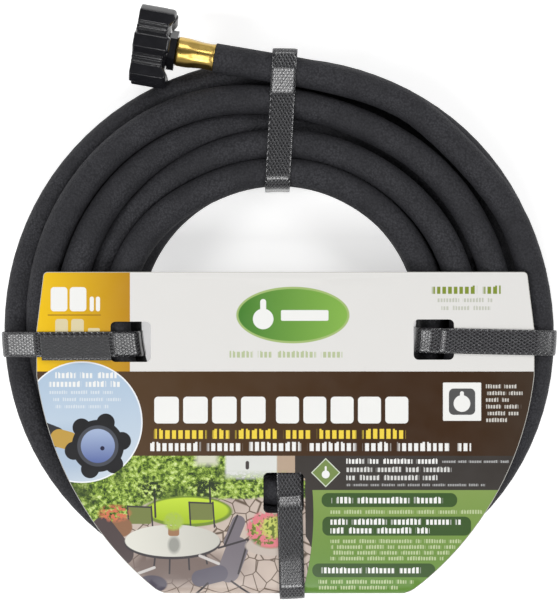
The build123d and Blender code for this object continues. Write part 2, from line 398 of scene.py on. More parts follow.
def coil_points():
    """Lays the turns in their places, then eases them apart until they rest against each other."""
    known = np.array([
        (turn + phase, radius, height)
        for turn, row in enumerate(turn_places)
        for phase, (radius, height) in zip(PLACE_PHASES, row)
    ])
    count = int(COIL_TURNS * STEPS) + 1
    along = np.arange(count) / STEPS
    wanted = np.stack([np.interp(along, known[:, 0], known[:, i]) for i in (1, 2)], 1)
    for _ in range(4):
        wanted = eased(wanted)
    angle = TAU * (0.25 - along)
    phase = along % 1
    wanted[:, 0] += np.where(along < 1, BULGE_PUSH * hump(phase, *BULGE), 0)
    outer = OUTER_RADIUS - OFF_CENTRE * np.sin(angle)
    for centre, half_width, amount in SWELLS:
        outer += amount * hump(phase, centre, half_width)
    inner = EYE_RADIUS - 4 * hump(phase, 0.5, 0.3)
    roof = np.where(along < UNDER_CARD[0], FIRST_ROOF, ROOF - 3.0 * hump(phase, 0.0, 0.3))
    upper_half = hump(phase, 0, 0.4) > 0.2
    clear = (along < 1) & ((along < UNDER_CARD[0]) | (along > UNDER_CARD[1]))
    seen = clear | (upper_half & (along > TOP_ROWS))
    pull = np.where(seen[:, None], PULL_SEEN, PULL_HIDDEN)
    place = wanted.copy()
    columns = [np.arange(start, count, STEPS) for start in range(STEPS)]
    for step in range(ROUNDS):
        place += (wanted - place) * pull * (1 if step < ROUNDS - CALM_ROUNDS else 0.2)
        place += (eased(place) - place) * (0.5 if step < ROUNDS - LAST_ROUNDS else 0.2)
        for _ in range(2):
            for column in columns:
                here = place[column]
                apart = here[:, None] - here[None]
                far = np.linalg.norm(apart, axis=2) + np.eye(len(column)) * 99
                short = np.maximum(0, HOSE_D - PRESSED - far)
                place[column] += (apart / far[..., None] * (short * 0.45)[..., None]).sum(1)
            below = RIM - place[:, 1]
            place[:, 0] = np.clip(place[:, 0], inner + EYE_SLOPE * below, outer + OUTER_SLOPE * below)
            place[:, 1] = np.clip(place[:, 1], LOW, roof)
    radius, height = place.T
    radius = radius / math.cos(math.pi / STEPS)  # the curve runs inside its control points
    points = np.stack([radius * np.cos(angle), radius * np.sin(angle), height], 1)
    return [tuple(p) for p in points[int(JOINS_INLET * STEPS) + 1:]]


def make_hose():
    points = inlet_route + coil_points() + outlet_route
    curve = bpy.data.curves.new("hose", "CURVE")
    curve.dimensions = "3D"
    spline = curve.splines.new("NURBS")
    spline.points.add(len(points) - 1)
    for point, place in zip(spline.points, points):
        point.co = (*(c * MM for c in place), 1)
    spline.order_u = 3
    spline.use_endpoint_u = True
    spline.resolution_u = 4
    curve.bevel_depth = HOSE_D / 2 * MM
    curve.bevel_resolution = 7
    curve.use_fill_caps = True
    curve.materials.append(RUBBER)
    hose = link(bpy.data.objects.new("hose", curve))
    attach(hose, "hose")
    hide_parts("hose_coil", "hose_inlet_tail", "hose_outlet_tail")
    return hose


hose = make_hose()


# ---- couplings
def coupling_frame(start, angle):
    """Axis, up and side directions of a coupling, for turning (radius, turn, distance) into a place."""
    axis = Vector((math.cos(math.radians(angle)), math.sin(math.radians(angle)), 0))
    up = Vector((0, 0, 1))
    return Vector(start), axis, up, axis.cross(up)


def turned(name, base, rings, turns, material):
    """Closed ring-shaped body: rings(turn) gives the (radius, distance) loop of the section there."""
    start, axis, up, side = base
    verts = []
    for turn in turns:
        out = up * math.cos(turn) + side * math.sin(turn)
        verts += [start + out * radius + axis * distance for radius, distance in rings(turn)]
    return mesh_object(name, verts, grid_faces(len(turns), len(verts) // len(turns)), material)


def all_round(steps):
    return [TAU * i / steps for i in range(steps)]


def smoothstep(low, high, value):
    t = min(1.0, max(0.0, (value - low) / (high - low)))
    return t * t * (3 - 2 * t)


def edge_drop(distance, radius):
    """How far a rounded edge falls back at a distance from its end, as a share of its radius."""
    return 1 - math.sqrt(max(0, 1 - (1 - min(1, distance / radius)) ** 2))


def thread_depth(distance, turn):
    """Height of a garden hose thread's rounded ridge, from 0 to 1, at a place on its cylinder."""
    place = (distance / THREAD_PITCH + turn / TAU) % 1
    return smoothstep(0.12, 0.36, place) - smoothstep(0.64, 0.88, place)


# Distances along a coupling are from its ferrule's rim at the hose.
LOBE_BACK, NUT_BACK, NUT_FRONT = 22.3, 25.0, 40.7
NUT_ROWS = 28
LOBE_ROUND, MOUTH_ROUND = 1.9, 0.9
GRIP_STEP = 0.14  # the lobes are this much lower at the back
THREAD_PITCH = 2.2087
NUT_THREAD = (NUT_FRONT - 0.8, 32.3)
NUT_THREAD_RADIUS, NUT_THREAD_DEPTH = 13.5, 1.0
STEM_THREAD = (23.8, 33.4)
STEM_THREAD_RADIUS, STEM_THREAD_DEPTH = 12.1, 1.05
COLLAR_HALF = 11.6  # half the width across its flats
BORE_RADIUS = 3.25
CRIMPS, CRIMP_DEPTH = 8, 0.24
# Half of one lobe's outline, from its middle to the middle of the groove: (degrees, radius).
half_lobe = [
    (0.0, 21.0), (4.0, 21.04), (8.0, 21.15), (8.9, 21.12), (9.5, 20.95), (10.0, 20.6), (13.0, 19.25),
    (16.0, 18.1), (19.0, 17.2), (20.4, 16.85), (20.9, 16.9), (21.5, 17.05), (22.4, 17.05), (23.0, 16.85),
    (23.5, 16.4), (24.2, 16.3), (27.2, 16.3), (27.9, 16.4), (28.4, 16.85), (29.2, 16.95), (30.0, 16.95),
]
BODY_RADIUS, CREST_RADIUS = 16.3, 21.15


def nut_turns():
    """Angles round the nut, close together where its outline turns sharply."""
    offsets = [math.radians(degrees) for degrees, _ in half_lobe]
    around = []
    for lobe in range(6):
        middle = TAU * lobe / 6
        around += [middle - off for off in reversed(offsets[1:])] + [middle + off for off in offsets[:-1]]
    return sorted(turn % TAU for turn in around)


def lobe_outline(turn):
    lobe = TAU / 6
    off = abs((turn + lobe / 2) % lobe - lobe / 2)
    return float(np.interp(math.degrees(off), *zip(*half_lobe)))


def nut_rings(turn):
    full = lobe_outline(turn)
    height = (full - BODY_RADIUS) / (CREST_RADIUS - BODY_RADIUS)
    back = NUT_BACK - (NUT_BACK - LOBE_BACK) * smoothstep(0.1, 0.8, height)
    loop = []
    for k in range(NUT_ROWS + 1):
        distance = back + (NUT_FRONT - back) * (0.5 - 0.5 * math.cos(math.pi * k / NUT_ROWS))
        from_back = edge_drop(distance - back, LOBE_ROUND)
        from_front = edge_drop(NUT_FRONT - distance, MOUTH_ROUND)
        grip_step = GRIP_STEP * (1 - smoothstep(5.0, 5.3, distance - back))
        drop = (from_back * LOBE_ROUND + grip_step) * height + from_back * 0.3 + from_front * MOUTH_ROUND
        loop.append((full - drop, distance))
    loop += [(15.2, NUT_FRONT), (14.6, NUT_FRONT - 0.35), (13.7, NUT_FRONT - 0.5)]
    for distance in np.linspace(*NUT_THREAD, 45):
        fade = smoothstep(0, 1.2, NUT_THREAD[0] - distance)
        loop.append((NUT_THREAD_RADIUS - NUT_THREAD_DEPTH * thread_depth(distance, turn) * fade, distance))
    loop += [(13.1, 32.1), (13.1, 27.0), (8.6, 27.0), (8.6, 24.1), (9.0, 24.0)]
    loop += [(12.2, 24.2), (13.4, NUT_BACK + 0.1), (14.2, NUT_BACK), (15.0, (NUT_BACK + back) / 2)]
    return loop


def ferrule_rings(turn):
    """Brass sleeve: smooth shoulder by the coupling, long shallow crimps towards its rim at the hose."""
    flat = TAU / CRIMPS
    off = abs((turn + 0.3 + flat / 2) % flat - flat / 2) / (flat / 2)
    loop = []
    for distance in np.linspace(0, FERRULE_LEN, 49):
        taper = 6.75 + 0.75 * smoothstep(5.0, 15.5, distance)
        scoop = 14.5 - 3.5 * off ** 2
        pressed = smoothstep(1.0, 2.5, distance) * (1 - smoothstep(scoop - 4.0, scoop, distance))
        dent = CRIMP_DEPTH * pressed * (0.5 + 0.5 * math.cos(math.pi * off))
        rim = 0.25 * (1 - smoothstep(0.4, 1.0, distance))
        rounding = 0.9 * edge_drop(FERRULE_LEN - distance, 1.6) + 0.3 * edge_drop(distance, 0.3)
        loop.append((taper - dent + rim - rounding, distance))
    loop += [(6.35, FERRULE_LEN), (6.3, FERRULE_LEN * 0.5), (6.35, 0.02)]
    return loop


def male_rings(turn):
    """Outlet stem from its ferrule to its mouth: collar, helical thread and open bore."""
    hexagon = TAU / 6
    off = abs((turn + hexagon / 2) % hexagon - hexagon / 2)
    collar = COLLAR_HALF / math.cos(off) * 0.985
    loop = [(6.3, 16.5), (6.35, FERRULE_LEN), (collar - 0.5, FERRULE_LEN), (collar, FERRULE_LEN + 0.4)]
    loop += [(collar, 22.5), (collar - 0.5, 22.9), (11.7, 23.0), (11.7, 23.6)]
    first, last = STEM_THREAD
    for distance in np.linspace(first, last, 49):
        fade = smoothstep(first, first + 1, distance) * (1 - smoothstep(last - 1, last, distance))
        loop.append((STEM_THREAD_RADIUS + STEM_THREAD_DEPTH * thread_depth(distance, turn) * fade, distance))
    loop += [(11.9, 33.8), (11.6, 34.0), (3.6, 34.0), (BORE_RADIUS, 33.7), (BORE_RADIUS, 16.5)]
    return loop


inlet_base = coupling_frame(INLET_START, INLET_ANGLE)
outlet_base = coupling_frame(OUTLET_START, OUTLET_ANGLE)
made_pieces = [
    ("inlet_nut_moulding", inlet_base, nut_rings, nut_turns(), "inlet_nut", "inlet_nut"),
    ("inlet_ferrule_crimped", inlet_base, ferrule_rings, all_round(160), "hose", "inlet_ferrule"),
    ("outlet_ferrule_crimped", outlet_base, ferrule_rings, all_round(160), "hose", "outlet_ferrule"),
    ("outlet_thread", outlet_base, male_rings, all_round(144), "hose", "outlet_stem"),
]
for name, base, rings, turns, body, node in made_pieces:
    is_brass = rings is ferrule_rings
    piece = turned(name, base, rings, turns, BRASS if is_brass else PLASTIC)
    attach(piece, body)
    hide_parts(node)


def dress(node, material, bevel):
    """Gives a CAD part its finish and a rounded edge."""
    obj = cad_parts[node]
    obj.data.materials.clear()
    obj.data.materials.append(material)
    rounding = obj.modifiers.new("edge", "BEVEL")
    rounding.width = bevel * MM
    rounding.segments = 2
    rounding.limit_method = "ANGLE"
    rounding.angle_limit = math.radians(35)


dress("inlet_stem", PLASTIC, 0.35)
dress("flow_restrictor", BLUE, 0.2)
dress("end_cap", CAP_PLASTIC, 0.15)
dress("cap_washer", WASHER, 0.2)

# ---- straps
DIAMOND_ACROSS = 1.81
DIAMOND_ALONG = 3.0
ROUND = 7.2  # radius of a strap's turn round the coil's edges
OVER_CARD = CARD_TOP + 0.1
PATH_STEP = 0.6
THIN_EDGE, EDGE_THINNER = 0.1, 0.18  # this close to its edges, a strap is this much thinner


def rounded_path(corners, radii, step, closed=True):
    """Straight runs and tangent arcs, as evenly spaced points with their outward normals."""
    places = []
    count = len(corners)
    for i, corner in enumerate(corners):
        here = Vector(corner)
        if not closed and i in (0, count - 1):
            places.append(here)
            continue
        to_last = (Vector(corners[i - 1]) - here).normalized()
        to_next = (Vector(corners[(i + 1) % count]) - here).normalized()
        half = math.acos(max(-1, min(1, to_last.dot(to_next)))) / 2
        reach = radii[i] / math.tan(half)
        centre = here + (to_last + to_next).normalized() * radii[i] / math.sin(half)
        first = here + to_last * reach - centre
        sweep = math.pi - 2 * half
        sign = 1 if to_last.x * to_next.y - to_last.y * to_next.x < 0 else -1
        arc_steps = max(3, int(sweep * radii[i] / step))
        for k in range(arc_steps + 1):
            turn = sign * sweep * k / arc_steps
            cos, sin = math.cos(turn), math.sin(turn)
            places.append(centre + Vector((first.x * cos - first.y * sin, first.x * sin + first.y * cos)))
    line = places + [places[0]] if closed else places
    lengths = np.cumsum([0] + [(b - a).length for a, b in zip(line, line[1:])])
    even = np.linspace(0, lengths[-1], int(lengths[-1] / step), endpoint=not closed)
    x = np.interp(even, lengths, [p.x for p in line])
    y = np.interp(even, lengths, [p.y for p in line])
    if closed:
        slope = np.stack([np.roll(x, -1) - np.roll(x, 1), np.roll(y, -1) - np.roll(y, 1)], 1)
    else:
        slope = np.stack([np.gradient(x), np.gradient(y)], 1)
    slope /= np.linalg.norm(slope, axis=1)[:, None]
    return np.stack([x, y], 1), np.stack([slope[:, 1], -slope[:, 0]], 1), even


def band(name, material, foot, radial, corners, radii, closed=True, bow=(0, 0)):
    """Strap whose inside follows corners, in the upright plane through foot along radial.

    Its ends keep to the coil's round edges, and bow pushes it sideways: (at the inner end, at the outer end).
    """
    path, normals, along = rounded_path(corners, radii, PATH_STEP, closed)
    radial = Vector(radial).normalized()
    side = radial.cross(Vector((0, 0, 1)))
    offset = Vector(foot).dot(side)
    columns = np.linspace(-STRAP_WIDTH / 2, STRAP_WIDTH / 2, 13)
    edge = EDGE_THINNER * (np.abs(columns) > STRAP_WIDTH / 2 - THIN_EDGE)
    section = [(c, STRAP_THICK - e) for c, e in zip(columns, edge)]
    section += [(columns[-1], 0.0), (columns[0], 0.0)]
    reach = (path[:, 0].min(), path[:, 0].max())
    verts, places = [], []
    for (x, y), (nx, ny), s in zip(path, normals, along):
        shift = bow[0] + (bow[1] - bow[0]) * (x - reach[0]) / (reach[1] - reach[0])
        for c, h in section:
            far = x + nx * h
            lateral = offset + c + shift
            far = math.copysign(math.sqrt(max(0, far * far + offset * offset - lateral * lateral)), far)
            verts.append(Vector(foot) + radial * far + Vector((0, 0, y + ny * h)) + side * (c + shift))
            places.append((s / DIAMOND_ALONG, c / DIAMOND_ACROSS))
    rows, width = len(path), len(section)
    faces = grid_faces(rows, width, closed)
    if not closed:
        faces.append(tuple(range(width)))
        faces.append(tuple((rows - 1) * width + j for j in reversed(range(width))))
    piece = mesh_object(name, verts, faces, material)
    layer = piece.data.uv_layers.new(name="band")
    last = (along[-1] + PATH_STEP) / DIAMOND_ALONG
    for face in piece.data.polygons:
        wraps = max(face.vertices) - min(face.vertices) > 3 * width
        for corner, vertex in zip(face.loop_indices, face.vertices):
            u, v = places[vertex]
            layer.data[corner].uv = (last if wraps and vertex < width else u, v)
    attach(piece, "hose")
    return piece


tilt = math.radians(3.2)  # the top strap stands off the upright by this
band_shapes = {
    "strap_top": (
        (-4.7, 0, 0),
        (math.sin(tilt), math.cos(tilt), 0),
        [(69.6, 0.8), (132.8, 0.8), (138.9, 21.5), (139.4, 44.7), (130.6, 45.2), (117.2, 40.9), (69.6, 41.3)],
        [ROUND, ROUND, ROUND, 3.0, 4.0, 4.0, ROUND],
        (0.0, 0.0),
    ),
    "strap_left": (
        (0, -10.8, 0),
        (-1, 0, 0),
        [(71.3, 0.8), (129.2, 0.8), (141.4, 22.9), (140.0, 39.7), (123.6, OVER_CARD), (84.5, OVER_CARD),
         (71.3, 40.2)],
        [ROUND, ROUND, 9.0, 5.0, 2.5, 6.0, 4.0],
        (0.8, 0.4),
    ),
    "strap_right": (
        (0, -9.3, 0),
        (1, 0, 0),
        [(69.6, 0.8), (123.6, 0.8), (140.8, 13.4), (140.0, 44.2), (130.4, OVER_CARD), (84.9, OVER_CARD),
         (81.7, 44.7), (77.6, 44.7), (69.6, 41.2)],
        [ROUND, ROUND, 9.0, 5.0, 6.0, 1.5, 1.5, 3.0, 5.0],
        (-1.2, 0.3),
    ),
    "strap_bottom": (
        (6.0, 0, 0),
        (0, -1, 0),
        [(68.2, 0.8), (139.0, 0.8), (139.0, 41.4), (133.4, OVER_CARD - 0.8), (118.5, OVER_CARD),
         (92.4, OVER_CARD), (86.8, 43.6), (68.2, 43.6)],
        [ROUND, ROUND, 4.0, 5.0, 60.0, 3.0, 3.0, ROUND],
        (1.2, -0.7),
    ),
}
for name, (foot, radial, corners, radii, bow) in band_shapes.items():
    piece = band(name + "_band", STRAPPING, foot, radial, corners, radii, bow=bow)
    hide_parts(name)

# the left strap's free end, welded over its first layer
lap = OVER_CARD + STRAP_THICK + 0.05
band("strap_left_lap", LAPPED, (0, -11.9, 0), (-1, 0, 0), [(120.3, lap), (85.5, lap)], [1, 1], closed=False)


# ---- display card
CARD_LEFT, CARD_RIGHT = -122.5, 129.0
CARD_UPPER, CARD_LOWER = 26.4, -137.9  # before its lower edge folds down
SHOULDER_Y, LEAN = -3.0, 3.4  # the sides lean in by LEAN above the shoulder
SIDE_Y = -26.0  # and curve in below this, through a place on each side, to the foot
BEND_LEFT, BEND_RIGHT, BEND_Y = -95.4, 102.6, -97.7
FOOT_LEFT, FOOT_RIGHT = -57.7, 63.3
CARD_CORNER = 2.2
CARD_THICK = 0.45
FOLD_Y, FOLD_RADIUS = -131.9, 5.0
WINDOW, WINDOW_CORNER = 20.4, 2.5
window_places = [(-74.9, -8.9), (78.2, -7.8), (2.3, -85.2)]
GRID = 4  # distance between the points of the card's mesh
SAG, EYE_Y, EYE_REACH = 0.7, -12, 70  # over the open eye
DROOP, DROOP_Y, DROOP_LENGTH = 0.95, -110, 22  # towards the lower edge
RIPPLE = 0.12


def every(low, high, step):
    count = math.ceil((high - low) / step)
    return [low + (high - low) * k / count for k in range(count + 1)]


def arc_through(a, b, c, steps):
    """Points from a to c on the circle through a, b and c."""
    a, b, c = complex(*a), complex(*b), complex(*c)
    ratio = (c - a) / (b - a)
    centre = a + (b - a) * (ratio - abs(ratio) ** 2) / (2j * ratio.imag)
    sweep = cmath.phase((c - centre) / (a - centre))
    points = [centre + (a - centre) * cmath.exp(1j * sweep * k / steps) for k in range(steps + 1)]
    return [Vector((point.real, point.imag)) for point in points]


def corner(centre, radius, first, steps=6):
    turns = [math.radians(first + 90 * k / steps) for k in range(steps + 1)]
    return [Vector(centre) + radius * Vector((math.cos(t), math.sin(t))) for t in turns]


def card_outline():
    sides = every(SIDE_Y + GRID, SHOULDER_Y, GRID)
    top = CARD_UPPER - CARD_CORNER
    outline = [Vector((CARD_RIGHT, y)) for y in sides]
    outline += corner((CARD_RIGHT - LEAN - CARD_CORNER, top), CARD_CORNER, 5)
    outline += corner((CARD_LEFT + LEAN + CARD_CORNER, top), CARD_CORNER, 85)
    outline += [Vector((CARD_LEFT, y)) for y in reversed(sides)]
    outline += arc_through((CARD_LEFT, SIDE_Y), (BEND_LEFT, BEND_Y), (FOOT_LEFT, CARD_LOWER), 22)
    outline += arc_through((FOOT_RIGHT, CARD_LOWER), (BEND_RIGHT, BEND_Y), (CARD_RIGHT, SIDE_Y), 22)
    return outline


def window_outline(x, y):
    half = WINDOW / 2 - WINDOW_CORNER
    loop = []
    for sx, sy, first in ((1, 1, 0), (-1, 1, 90), (-1, -1, 180), (1, -1, 270)):
        loop += corner((x + sx * half, y + sy * half), WINDOW_CORNER, first, 5)
    return loop


def card_height(x, y):
    """Height of the print: flat on the coil, sagging over the open eye, drawn down at its lower edge."""
    eye = max(0.0, 1 - (x * x + (y - EYE_Y) ** 2) / EYE_REACH ** 2)
    ripple = RIPPLE * math.sin(x / 23.0) * math.sin(y / 31.0 + 0.6)
    droop = max(0.0, DROOP_Y - y) / DROOP_LENGTH
    return CARD_TOP - 0.15 - SAG * eye * eye - DROOP * droop * droop + ripple


def folded(x, y):
    """Bends the lower edge of the card down over the outermost turn."""
    beyond = max(0.0, FOLD_Y - y)
    turn = beyond / FOLD_RADIUS
    level = card_height(x, max(y, FOLD_Y))
    if beyond == 0:
        return (x, y, level)
    return (x, FOLD_Y - FOLD_RADIUS * math.sin(turn), level - FOLD_RADIUS * (1 - math.cos(turn)))


def inside(point, loop):
    odd = False
    for a, b in zip(loop, loop[1:] + loop[:1]):
        if (a.y > point.y) != (b.y > point.y):
            if point.x < (b.x - a.x) * (point.y - a.y) / (b.y - a.y) + a.x:
                odd = not odd
    return odd


BORDER = 0.3  # bare board round the print
# The print's fields, from the top: gold and pale, brown, then garden and green.
PANEL_Y, BAND_Y, GOLD_X = -23.9, -66.5, -75.3
ROUND_PICTURE = (-99.6, -49.5, 30.7)
ROUND_FIELD, GOLD, PANEL, HEADING, GARDEN, FIELD, BOARD = range(7)  # in the order of the card's materials


def green_edge(y):
    return 17.3 - 0.0035 * (y + 96) ** 2


def field_edge(y):
    """Border between the garden picture and the dark and green field."""
    if y < -112:
        return green_edge(y)
    return float(np.interp(y, (-112, -107, -78, -76), (green_edge(-112), 13.4, 13.2, 8.1)))


def border_line(outline):
    """The outline, moved in by the width of the bare border."""
    inset = []
    for before, here, after in zip(outline[-1:] + outline, outline, outline[1:] + outline[:1]):
        way = (after - before).normalized()
        inset.append(here + Vector((-way.y, way.x)) * BORDER)
    return inset


def print_borders(inset):
    """Lines that the card's mesh keeps to: the fields' edges and the border's inner line."""
    x, y, radius = ROUND_PICTURE
    across = every(-128, 134, GRID)
    circle = [Vector((x + radius * math.cos(t), y + radius * math.sin(t))) for t in every(0, TAU, 0.06)]
    return [
        [Vector((x, PANEL_Y)) for x in across],
        [Vector((x, BAND_Y)) for x in across],
        [Vector((GOLD_X, y)) for y in every(PANEL_Y, 28, GRID)],
        [Vector((field_edge(y), y)) for y in every(-142, -78, 3) + every(-77.5, BAND_Y, 2)],
        circle,
        inset + inset[:1],
    ]


def print_field(x, y, inset):
    """Number of the print's field at a place."""
    if not inside(Vector((x, y)), inset):
        return BOARD
    px, py, radius = ROUND_PICTURE
    if math.hypot(x - px, y - py) < radius:
        return ROUND_FIELD
    if y > PANEL_Y:
        return GOLD if x < GOLD_X else PANEL
    if y > BAND_Y:
        return HEADING
    return GARDEN if x < field_edge(y) else FIELD


def make_card(materials):
    loops = [card_outline()] + [window_outline(*place) for place in window_places]
    verts, edges = [], []
    for loop in loops:
        start = len(verts)
        verts += loop
        edges += [(start + i, start + (i + 1) % len(loop)) for i in range(len(loop))]
    inset = border_line(loops[0])
    for line in print_borders(inset):
        start = len(verts)
        verts += line
        edges += [(start + i, start + i + 1) for i in range(len(line) - 1)]
    edge_points = np.array([tuple(v) for v in verts])

    def on_card(point):
        return inside(point, loops[0]) and not any(inside(point, window) for window in loops[1:])

    for x in every(-124, 130, GRID):
        for y in every(CARD_LOWER, FOLD_Y, 1.2) + every(FOLD_Y + GRID, CARD_UPPER, GRID):
            near = np.min(np.linalg.norm(edge_points - (x, y), axis=1))
            if near > GRID / 2 and on_card(Vector((x, y))):
                verts.append(Vector((x, y)))
    flat, _, triangles = delaunay_2d_cdt(verts, edges, [], 0, 1e-5)[:3]
    kept, fields = [], []
    for triangle in triangles:
        middle = sum((flat[i] for i in triangle), Vector((0, 0))) / 3
        if on_card(middle):
            kept.append(tuple(triangle))
            fields.append(print_field(*middle, inset))
    card = mesh_object("display_card_print", [folded(v.x, v.y) for v in flat], kept, materials[0])
    for material in materials[1:]:
        card.data.materials.append(material)
    card.data.polygons.foreach_set("material_index", fields)
    if card.data.polygons[0].normal.z < 0:
        card.data.flip_normals()
    mesh = bmesh.new()
    mesh.from_mesh(card.data)
    for edge in mesh.edges:
        edge.smooth = not edge.is_boundary
    mesh.to_mesh(card.data)
    mesh.free()
    skin = card.modifiers.new("board", "SOLIDIFY")
    skin.thickness = CARD_THICK * MM
    skin.offset = -1
    skin.material_offset = BOARD  # behind the print and at its cut edges
    skin.material_offset_rim = BOARD
    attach(card, "hose")
    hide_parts("display_card")


def shape_group(name, inputs, draw):
    """Node group that turns a place on the card and a shape's sizes into the shape's mask."""
    tree = bpy.data.node_groups.new(name, "ShaderNodeTree")
    for label in inputs.split():
        tree.interface.new_socket(label, in_out="INPUT", socket_type="NodeSocketFloat")
    tree.interface.new_socket("mask", in_out="OUTPUT", socket_type="NodeSocketFloat")
    given = tree.nodes.new("NodeGroupInput").outputs
    mask = draw(Tree(tree), *given[:-1])
    tree.links.new(mask, tree.nodes.new("NodeGroupOutput").inputs[0])
    return tree


def draw_box(t, x, y, cx, cy, half_x, half_y, round_by, blur):
    qx = t.add(t.sub(t.math("ABSOLUTE", t.sub(x, cx)), half_x), round_by)
    qy = t.add(t.sub(t.math("ABSOLUTE", t.sub(y, cy)), half_y), round_by)
    outside = t.hypot(t.math("MAXIMUM", qx, 0), t.math("MAXIMUM", qy, 0))
    within = t.math("MINIMUM", t.math("MAXIMUM", qx, qy), 0)
    return t.soft(t.sub(t.add(outside, within), round_by), blur)


def draw_oval(t, x, y, cx, cy, half_x, half_y, blur):
    dx = t.math("DIVIDE", t.sub(x, cx), half_x)
    dy = t.math("DIVIDE", t.sub(y, cy), half_y)
    far = t.sub(t.hypot(dx, dy), 1)
    return t.soft(t.mul(far, t.math("MINIMUM", half_x, half_y)), blur)


def draw_stroke(t, x, y, x0, y0, ux, uy, length, half, blur):
    dx = t.sub(x, x0)
    dy = t.sub(y, y0)
    along = t.add(t.mul(dx, ux), t.mul(dy, uy))
    along = t.math("MINIMUM", t.math("MAXIMUM", along, 0), length)
    ex = t.sub(dx, t.mul(along, ux))
    ey = t.sub(dy, t.mul(along, uy))
    return t.soft(t.sub(t.hypot(ex, ey), half), blur)


def draw_words(t, x, y, x0, x1, cy, half, pitch, seed):
    """A line of plain blocks in groups of uneven length, that stands for small words."""
    def blocks(step, gap_low, gap_share):
        place = t.add(t.math("DIVIDE", t.sub(x, x0), step), seed)
        chance = t.node("TexWhiteNoise")
        chance.noise_dimensions = "1D"
        t.put(chance.inputs["W"], t.math("FLOOR", place))
        gap = t.add(t.mul(chance.outputs[0], 1 - 2 * gap_low), gap_low)
        off = t.math("ABSOLUTE", t.sub(t.math("FRACT", place), gap))
        return t.mul(t.sub(off, gap_share), 14, clamp=True), chance.outputs[0]

    words, _ = blocks(pitch, 0.15, 0.045)
    letters, chance = blocks(t.mul(half, 1.35), 0.42, 0.14)
    tall = t.add(t.mul(t.math("GREATER_THAN", chance, 0.68), 0.14), 0.86)
    top = t.sub(t.mul(t.mul(half, 2), tall), half)
    dy = t.sub(y, cy)
    above = t.soft(t.sub(dy, top), 0.2)
    below = t.soft(t.sub(t.mul(dy, -1), half), 0.2)
    ends = t.mul(t.soft(t.sub(x0, x), 0.2), t.soft(t.sub(x, x1), 0.2))
    inked = t.mul(t.mul(above, below), ends)
    return t.mul(inked, t.mul(words, letters))


SHAPES = {
    "box": shape_group("box", "x y cx cy half_x half_y round_by blur", draw_box),
    "oval": shape_group("oval", "x y cx cy half_x half_y blur", draw_oval),
    "stroke": shape_group("stroke", "x y x0 y0 ux uy length half blur", draw_stroke),
    "words": shape_group("words", "x y x0 x1 cy half pitch seed", draw_words),
}


WHITE = (0.8, 0.8, 0.78)
PAPER = (0.7, 0.69, 0.67)


class Print(Finish):
    """Flat artwork painted by the place on the card, in millimetres, one shape over another."""

    def __init__(self, name, ink):
        super().__init__(name, ink if hasattr(ink, "__len__") else WHITE, 0.4, specular=0.3)
        place = self.node("SeparateXYZ", Vector=self.coords).outputs
        self.x = self.mul(place[0], 1 / MM)
        self.y = self.mul(place[1], 1 / MM)
        self.ink = ink
        self.seed = len(name) * 7.7

    def done(self):
        self.color(self.ink)
        self.rough(self.ramp(self.noise(90, 3), (0.3, 0.32), (0.7, 0.44)))
        self.normal(self.bump(self.noise(60, 2), 0.1, 0.0008))
        return self.mat

    def shape(self, kind, *sizes):
        node = self.node("Group")
        node.node_tree = SHAPES[kind]
        self.feed(node, self.x, self.y, *sizes)
        return node.outputs[0]

    def box_mask(self, x0, y0, x1, y1, round_by=0.0, blur=0.2):
        middle = ((x0 + x1) / 2, (y0 + y1) / 2)
        return self.shape("box", *middle, abs(x1 - x0) / 2, abs(y1 - y0) / 2, round_by, blur)

    def oval_mask(self, x, y, half_x, half_y, blur=0.2):
        return self.shape("oval", x, y, half_x, half_y, blur)

    def line_mask(self, x0, y0, x1, y1, half, blur=0.2):
        """A stroke with round ends."""
        length = math.hypot(x1 - x0, y1 - y0)
        return self.shape("stroke", x0, y0, (x1 - x0) / length, (y1 - y0) / length, length, half, blur)

    def fade_mask(self, coordinate, low, high):
        return self.math("DIVIDE", self.sub(coordinate, low), high - low, clamp=True)

    def fade(self, coordinate, low, high, first, last):
        """Colour that runs from first to last between two places."""
        return self.mix(self.fade_mask(coordinate, low, high), first, last)

    def lay(self, mask, color):
        self.ink = self.mix(mask, self.ink, color)

    def box(self, color, *sizes):
        self.lay(self.box_mask(*sizes), color)

    def oval(self, color, *sizes):
        self.lay(self.oval_mask(*sizes), color)

    def line(self, color, *sizes):
        self.lay(self.line_mask(*sizes), color)

    def bars(self, x, y, widths, height, color, gap=1.6):
        """A row of plain rounded blocks."""
        for width in widths:
            self.box(color, x, y - height / 2, x + width, y + height / 2, height * 0.14)
            x += width + gap

    def words(self, x0, x1, y, height, color, pitch=None):
        self.seed += 17.3
        mask = self.shape("words", x0, x1, y, height / 2, pitch or height * 5.5, self.seed)
        self.lay(mask, color)


